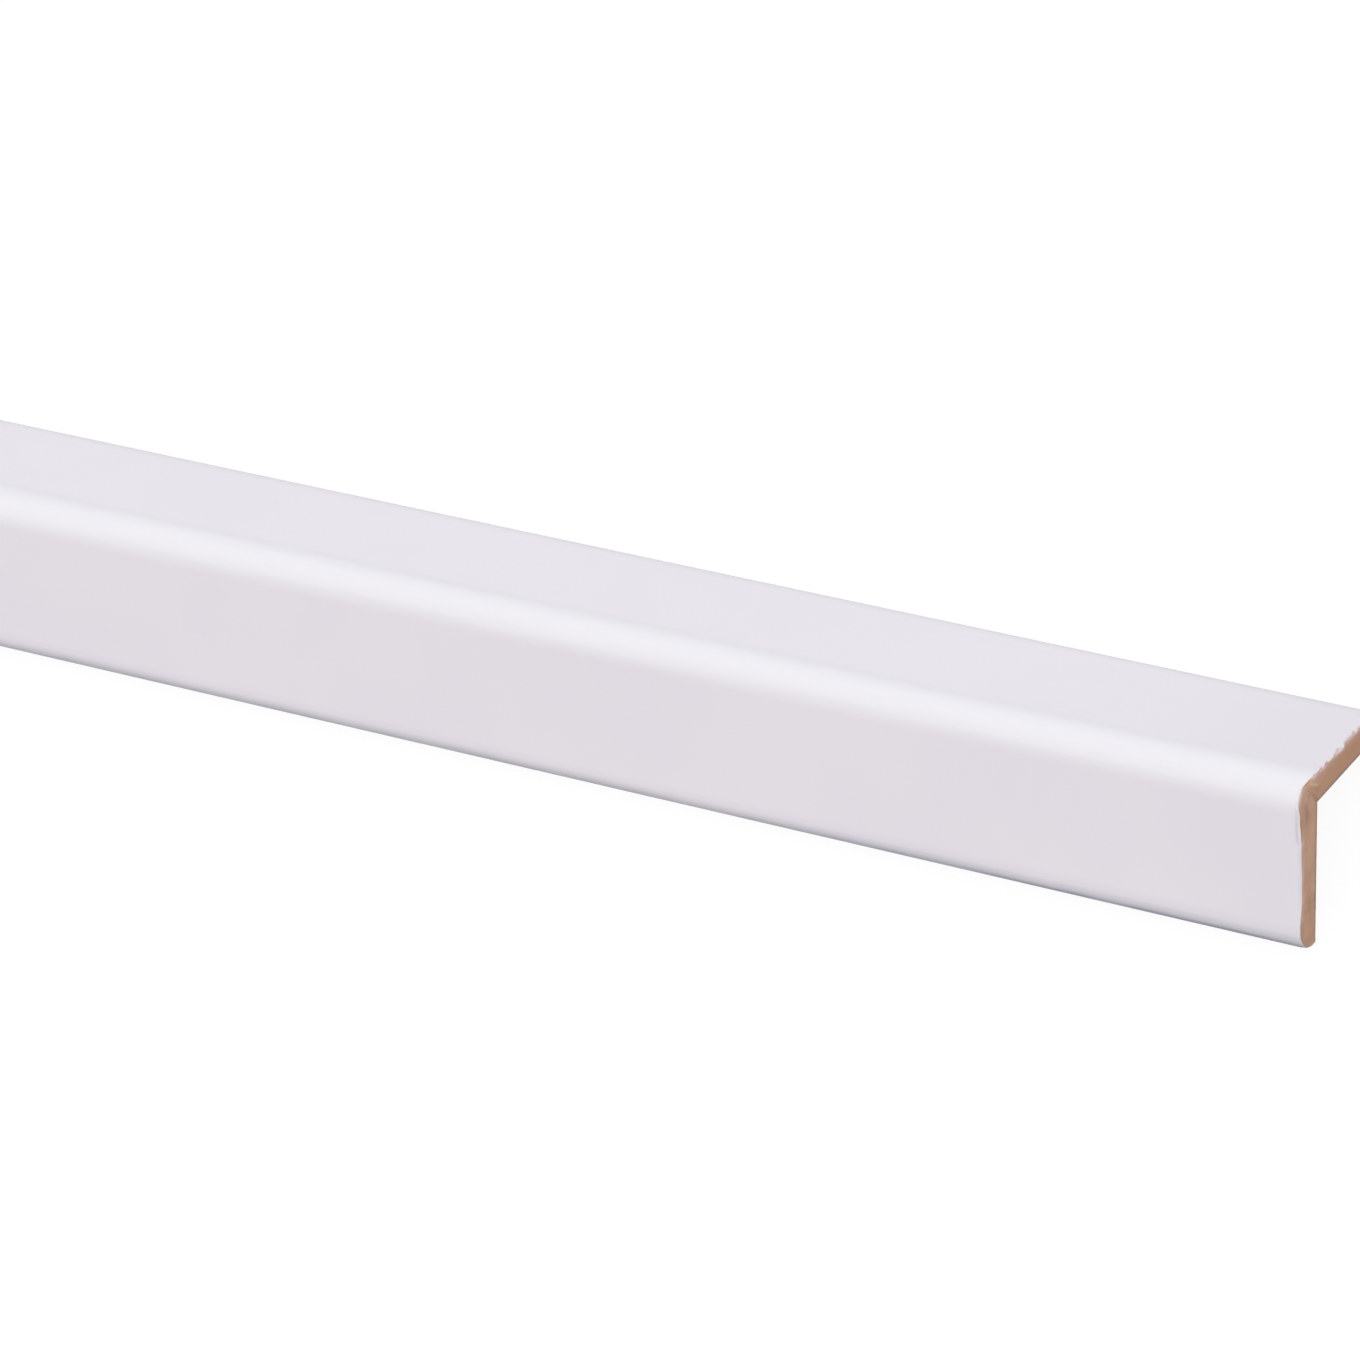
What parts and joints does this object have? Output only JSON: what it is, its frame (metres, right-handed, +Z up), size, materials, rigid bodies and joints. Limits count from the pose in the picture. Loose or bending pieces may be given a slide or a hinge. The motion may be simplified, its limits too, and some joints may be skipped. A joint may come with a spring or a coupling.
{
  "type": "corner guard moulding",
  "caption": "Straight L-section stick of white foil-wrapped fibreboard with a rounded outside corner, glued over an outside wall corner to guard and trim it.",
  "frame": {"origin": "floor level, midway along the stick, under the outside corner", "axes": "+X along the stick towards the cut end that the picture shows; +Z up through the outside corner; the -Y leg is the one that the picture shows upright and in front"},
  "size_m": [2.4, 0.037, 0.0211],
  "materials": {
    "foil_wrapped_board": "fibreboard wrapped in smooth satin white decor foil on its outside faces and leg tips",
    "bare_board": "bare brown fibreboard, on the sawn ends and the inside faces"
  },
  "bodies": {
    "root": {"corner_guard": "foil_wrapped_board"}
  },
  "joints": []
}
